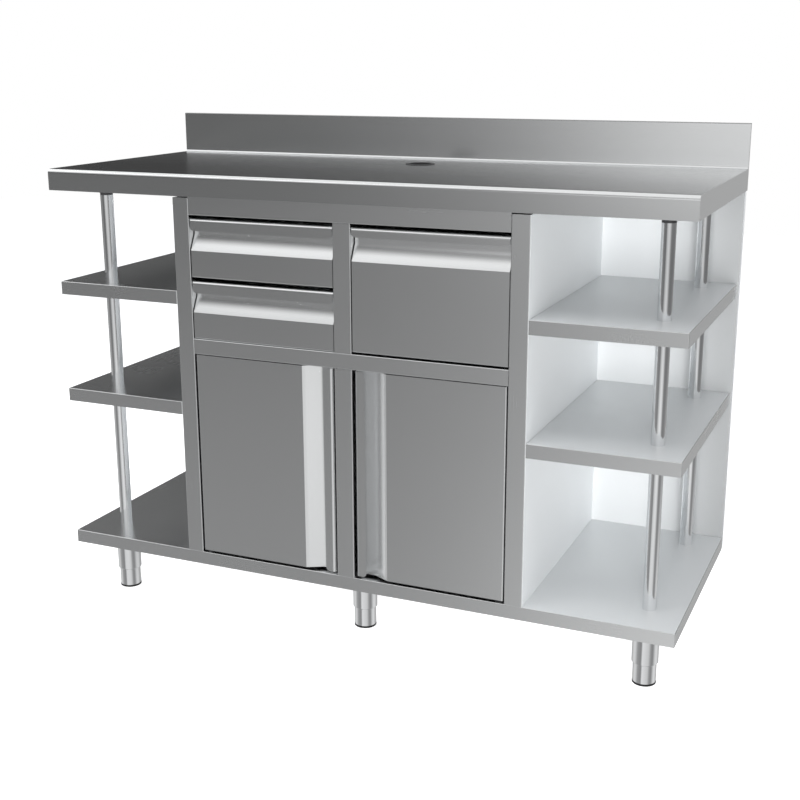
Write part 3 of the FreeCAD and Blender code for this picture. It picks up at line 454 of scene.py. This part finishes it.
# Each row is an elevation and its glow along the bearing, in degrees. Bearing 0 is behind the
# object, 90 to its left, 180 in front of it and 270 to its right.
FLAG_GLOW = (
    (-26, ((0, 0.45), (40, 0.45), (85, 0.78), (100, 0.72), (125, 0.36), (141, 0.32), (150, 0.29),
           (158, 0.29), (162, 0.35), (169, 0.88), (202, 0.74), (222, 0.66), (240, 0.35),
           (258, 0.27), (272, 0.50), (285, 0.78), (310, 0.80), (330, 0.50), (350, 0.45),
           (360, 0.45))),
    (-17, ((0, 0.35), (40, 0.30), (85, 0.62), (100, 0.60), (125, 0.34), (148, 0.26), (158, 0.26),
           (163, 0.295), (170, 0.44), (185, 0.75), (205, 0.95), (222, 0.80), (240, 0.28),
           (270, 0.22), (300, 0.35), (350, 0.45), (360, 0.35))),
    (-8, ((0, 0.20), (30, 0.12), (85, 0.25), (100, 0.40), (130, 0.20), (143, 0.19), (150, 0.16),
          (158, 0.16), (163, 0.20), (170, 0.33), (180, 0.50), (203, 0.66), (220, 0.50),
          (236, 0.22), (254, 0.17), (291, 0.17), (330, 0.30), (350, 0.46), (360, 0.30))),
    (3, ((0, 0.10), (30, 0.05), (100, 0.12), (141, 0.09), (150, 0.11), (158, 0.27), (164, 0.53),
         (171, 1.35), (185, 1.20), (215, 0.90), (236, 0.40), (291, 0.35), (330, 0.40),
         (350, 0.50), (360, 0.10))),
    (12, ((0, 0.05), (30, 0.04), (60, 0.05), (100, 0.12), (141, 0.10), (155, 0.11), (163, 0.22),
          (171, 0.75), (190, 0.90), (236, 0.60), (300, 0.60), (360, 0.05))),
    (25, ((0, 0.05), (30, 0.07), (60, 0.08), (100, 0.30), (135, 0.50), (146, 0.58), (151, 0.42),
          (158, 0.33), (163, 0.34), (171, 0.50), (190, 0.80), (300, 0.80), (360, 0.05))),
    (35, ((0, 0.40), (60, 0.80), (100, 1.10), (139, 1.05), (145, 0.90), (151, 0.74), (160, 0.66),
          (180, 0.80), (215, 0.90), (300, 0.90), (360, 0.40))),
    (50, ((0, 1.00), (60, 1.70), (100, 2.10), (140, 1.70), (160, 1.20), (200, 1.00),
          (360, 1.00))),
)


def flag_material():
    """The reflectors' glow by bearing, run from one row's elevation to the next one's."""
    material, tree, place = start("flag_glow")
    part = tree.split(place)
    behind = tree.math("MULTIPLY", part["Y"], -1.0)
    bearing = tree.math("ADD", tree.math("ARCTAN2", part["X"], behind), math.pi)
    turn = tree.span(tree.math("DEGREES", bearing), 0.0, FULL_TURN, 0.0, 1.0)
    rise = tree.math("SUBTRACT", part["Z"], FLAG_AIM)
    elevation = tree.math("DEGREES", tree.math("ARCTAN2", rise, FLAG_RADIUS))
    tones = [tree.ramp(turn, [(stop / FULL_TURN, (level,) * 3) for stop, level in stops])
             for _, stops in FLAG_GLOW]
    glow = tones[0]
    for (low, _), (high, _), tone in zip(FLAG_GLOW, FLAG_GLOW[1:], tones[1:]):
        glow = tree.span(elevation, low, high, glow, tone)
    shader = tree.node("ShaderNodeEmission")
    tree.link(glow, shader.inputs["Color"])
    tree.close(shader.outputs["Emission"])
    material.cycles.emission_sampling = "NONE"
    return material


def flag():
    """A cylinder round the object that only reflections show."""
    bottom, top = (FLAG_AIM + FLAG_RADIUS * math.tan(math.radians(angle)) for angle in FLAG_REACH)
    vertices = []
    for step in range(FLAG_STEPS + 1):
        bearing = math.radians(FULL_TURN * step / FLAG_STEPS)
        x = -FLAG_RADIUS * math.sin(bearing)
        y = FLAG_RADIUS * math.cos(bearing)
        vertices += [(x, y, bottom), (x, y, top)]
    faces = [(2 * step, 2 * step + 2, 2 * step + 3, 2 * step + 1) for step in range(FLAG_STEPS)]
    item = stage_mesh("studio_flag", vertices, faces, flag_material())
    item.visible_camera = False
    item.visible_shadow = False
    item.visible_diffuse = False


flag()


# ---------------------------------------------------------------- world and lamps

def background(tree, colour, strength):
    item = tree.node("ShaderNodeBackground")
    item.inputs["Color"].default_value = (*colour, 1.0)
    item.inputs["Strength"].default_value = strength
    return item.outputs["Background"]


def world():
    """White to look at, and a softer, slightly cool light on the object."""
    studio = bpy.data.worlds.new("studio")
    bpy.context.scene.world = studio
    tree = Tree(studio)
    light = background(tree, (0.95, 0.97, 1.0), 0.6)
    backdrop = background(tree, (1.0, 1.0, 1.0), 1.0)
    tree.close(tree.mixed(tree.shown(), light, backdrop), "ShaderNodeOutputWorld")


world()

# name: place, aim, width and height, power in watts
SOFTBOXES = {
    "softbox_top": ((0.2, -0.9, 3.4), (0.0, 0.0, 0.6), (3.2, 1.8), 70.0),
    "softbox_fill": ((1.3, -3.0, 0.85), (0.5, 0.0, 0.65), (1.4, 1.4), 132.0),
    "softbox_left": ((-2.2, -2.2, 0.75), (-0.5, 0.0, 0.6), (1.2, 1.2), 60.0),
}


def softbox(name, place, aim, size, power):
    """A rectangular lamp that lights matt surfaces and stays out of reflections."""
    lamp = bpy.data.lights.new(name, "AREA")
    lamp.shape = "RECTANGLE"
    lamp.size, lamp.size_y = size
    lamp.energy = power
    item = bpy.data.objects.new(name, lamp)
    bpy.context.scene.collection.objects.link(item)
    item.location = place
    item.rotation_euler = (Vector(aim) - Vector(place)).to_track_quat("-Z", "Y").to_euler()
    item.visible_glossy = False


for lamp_name, setup in SOFTBOXES.items():
    softbox(lamp_name, *setup)


# ---------------------------------------------------------------- camera

IMAGE_PIXELS = 800.0
FOCAL_PIXELS = 1251.1734
CENTRE_PIXELS = (400.5333, 382.5099)    # where the view's axis meets the image
CAMERA_PLACE = (1.1653344, -2.6673465, 1.3237626)
YAW = -0.4083678
PITCH = -0.2568137
ROLL = -0.0024255
SENSOR = 36.0


def camera():
    """The photograph's view, at the place, direction and focal length of a fit to its edges."""
    view = bpy.data.cameras.new("camera")
    view.sensor_width = SENSOR
    view.lens = SENSOR * FOCAL_PIXELS / IMAGE_PIXELS
    view.shift_x = (IMAGE_PIXELS / 2 - CENTRE_PIXELS[0]) / IMAGE_PIXELS
    view.shift_y = (CENTRE_PIXELS[1] - IMAGE_PIXELS / 2) / IMAGE_PIXELS
    forward = Vector((math.sin(YAW) * math.cos(PITCH), math.cos(YAW) * math.cos(PITCH),
                      math.sin(PITCH)))
    level_right = Vector((math.cos(YAW), -math.sin(YAW), 0.0))
    level_up = level_right.cross(forward)
    right = math.cos(ROLL) * level_right + math.sin(ROLL) * level_up
    up = math.cos(ROLL) * level_up - math.sin(ROLL) * level_right
    turn = Matrix((right, up, -forward)).transposed()
    item = bpy.data.objects.new("camera", view)
    item.matrix_world = Matrix.Translation(CAMERA_PLACE) @ turn.to_4x4()
    bpy.context.scene.collection.objects.link(item)
    bpy.context.scene.camera = item


camera()

bpy.context.scene.view_settings.view_transform = "Standard"
